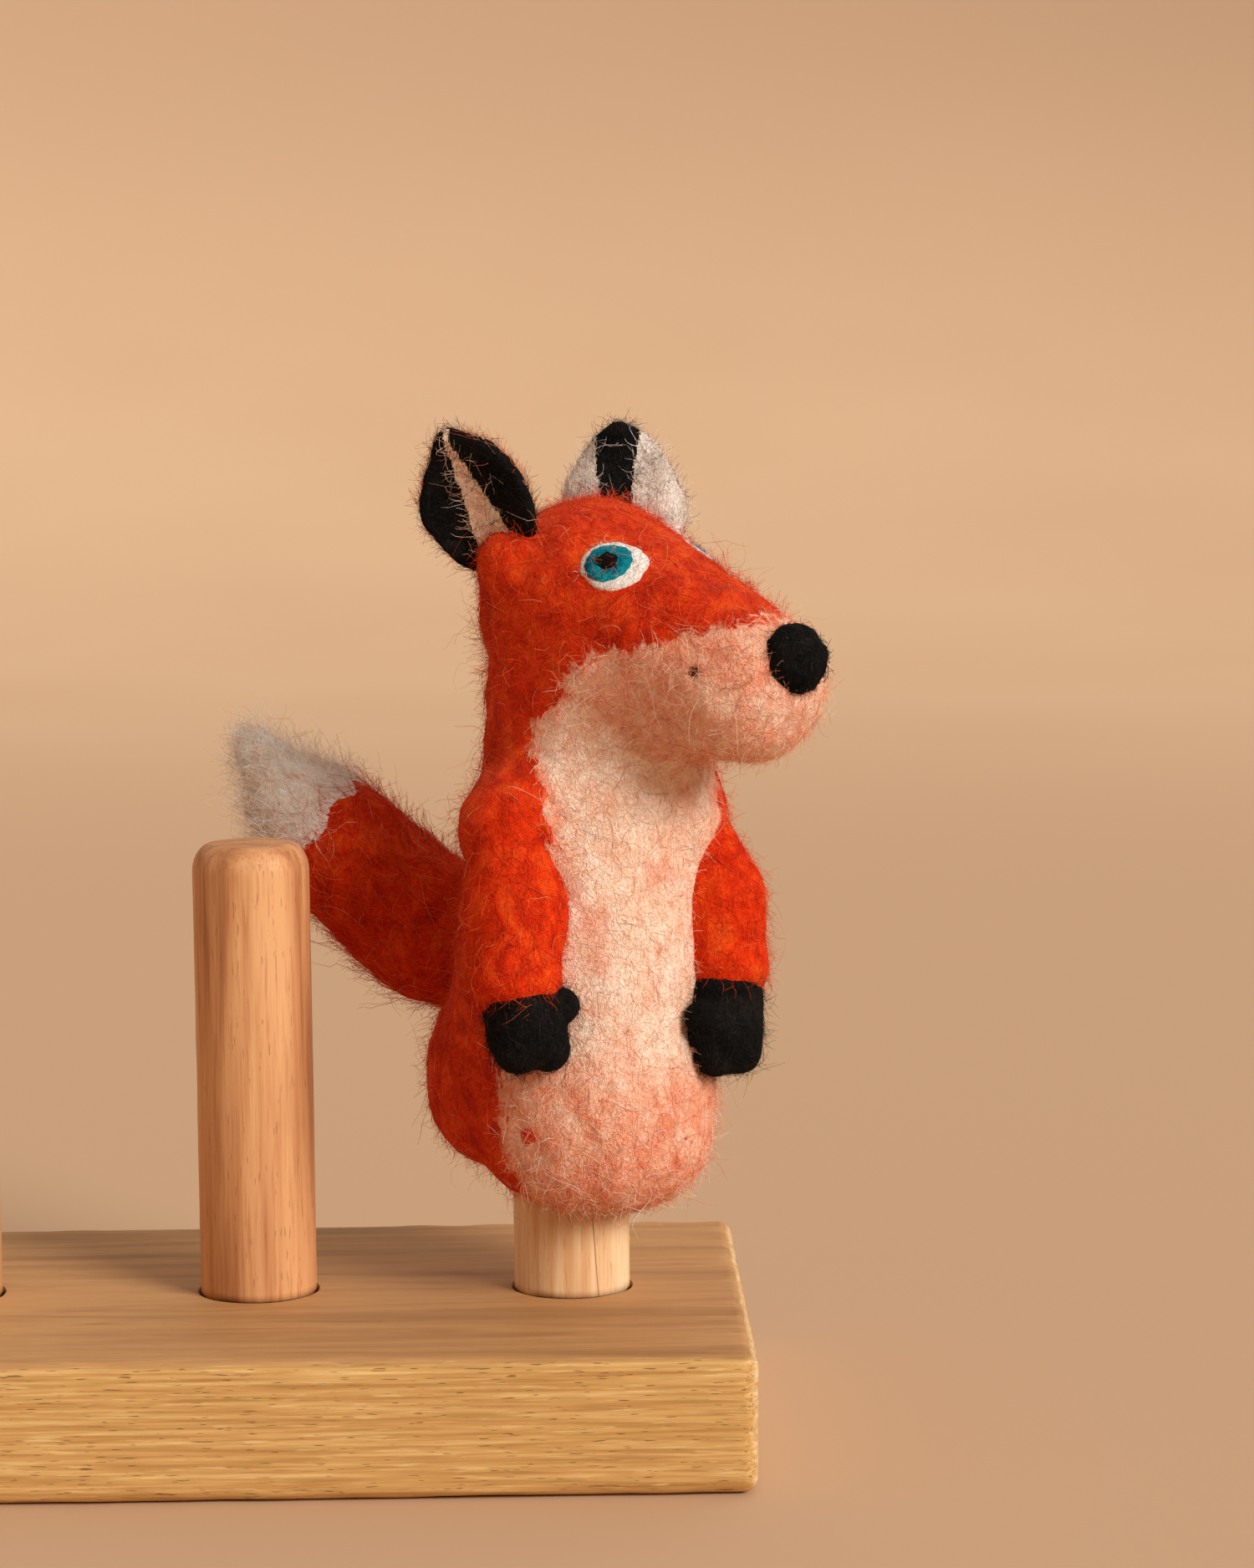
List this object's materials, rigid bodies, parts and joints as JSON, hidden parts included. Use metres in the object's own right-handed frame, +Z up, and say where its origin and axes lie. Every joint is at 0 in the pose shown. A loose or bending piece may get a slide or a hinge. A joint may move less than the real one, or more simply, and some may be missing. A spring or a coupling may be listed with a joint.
{
  "type": "felt finger puppet on a peg stand",
  "caption": "Needle-felted fox finger puppet resting on a wooden peg of a block stand; it lifts off the peg and its head, ears, arms and tail flex.",
  "frame": {"origin": "centre of the block's underside, below the middle peg", "axes": "+X along the row of pegs towards the fox's peg, -Y out of the front of the stand, +Z up"},
  "size_m": [0.1359, 0.0752, 0.1298],
  "materials": {
    "wood_block": "sanded, unvarnished",
    "wood_pale": "sanded, unvarnished",
    "wood_brown": "sanded, unvarnished",
    "wool_orange": "needle-felted wool",
    "wool_peach": "needle-felted wool",
    "wool_cream": "needle-felted wool",
    "wool_black": "needle-felted wool",
    "wool_white": "needle-felted wool",
    "wool_teal": "needle-felted wool"
  },
  "bodies": {
    "stand": {"base_block": "wood_block"},
    "fox_peg": {"fox_peg": "wood_pale"},
    "middle_peg": {"middle_peg": "wood_brown"},
    "end_peg": {"end_peg": "wood_brown"},
    "puppet": {"torso": "wool_orange", "bib": "wool_cream", "belly": "wool_peach"},
    "head": {"head": "wool_orange", "muzzle": "wool_peach", "nose": "wool_black", "mouth_stitch": "wool_black", "eye_white_right": "wool_white", "eye_white_left": "wool_white", "iris_right": "wool_teal", "iris_left": "wool_teal", "pupil_right": "wool_black", "pupil_left": "wool_black"},
    "ear_right": {"ear_right": "wool_cream", "ear_right_lining": "wool_peach", "ear_right_front_rim": "wool_black", "ear_right_back_rim": "wool_black", "ear_right_stripe": "wool_black"},
    "ear_left": {"ear_left": "wool_cream", "ear_left_lining": "wool_peach", "ear_left_front_rim": "wool_black", "ear_left_back_rim": "wool_black", "ear_left_stripe": "wool_black"},
    "arm_right": {"arm_right": "wool_orange", "paw_right": "wool_black"},
    "arm_left": {"arm_left": "wool_orange", "paw_left": "wool_black"},
    "tail": {"tail": "wool_orange", "tail_tip": "wool_white"}
  },
  "joints": [
    {"name": "fox_peg_turn", "type": "hinge", "parent": "stand", "child": "fox_peg", "pos_m": [0.0408, 0, 0.0174], "axis": [0, 0, 1], "range_deg": [-280, 6]},
    {"name": "puppet_lift", "type": "slide", "parent": "fox_peg", "child": "puppet", "axis": [0, 0, 1], "range_m": [0, 0.07]},
    {"name": "middle_peg_lift", "type": "slide", "parent": "stand", "child": "middle_peg", "axis": [0, 0, 1], "range_m": [0, 0.03]},
    {"name": "end_peg_lift", "type": "slide", "parent": "stand", "child": "end_peg", "axis": [0, 0, 1], "range_m": [0, 0.03]},
    {"name": "head_nod", "type": "hinge", "parent": "puppet", "child": "head", "pos_m": [0.0443, -0.001, 0.1054], "axis": [0.6691, 0.7431, 0], "range_deg": [-10, 8], "stiffness_Nm_per_rad": 0.3},
    {"name": "ear_right_fold", "type": "hinge", "parent": "head", "child": "ear_right", "pos_m": [0.03281, -0.00813, 0.1094], "axis": [0.9563, -0.2924, 0], "range_deg": [0, 12], "stiffness_Nm_per_rad": 0.005},
    {"name": "ear_left_fold", "type": "hinge", "parent": "head", "child": "ear_left", "pos_m": [0.04881, 0.01242, 0.1094], "axis": [-0.9563, 0.2924, 0], "range_deg": [0, 12], "stiffness_Nm_per_rad": 0.005},
    {"name": "arm_right_swing", "type": "hinge", "parent": "puppet", "child": "arm_right", "pos_m": [0.03222, -0.01312, 0.0776], "axis": [-0.454, 0.891, 0], "range_deg": [0, 30], "stiffness_Nm_per_rad": 0.01},
    {"name": "arm_left_swing", "type": "hinge", "parent": "puppet", "child": "arm_left", "pos_m": [0.05646, -0.00078, 0.0776], "axis": [0.454, -0.891, 0], "range_deg": [0, 30], "stiffness_Nm_per_rad": 0.01},
    {"name": "tail_wag", "type": "hinge", "parent": "puppet", "child": "tail", "pos_m": [0.03229, 0.01362, 0.0564], "axis": [0, 0, 1], "range_deg": [-7, 7], "stiffness_Nm_per_rad": 0.02}
  ]
}
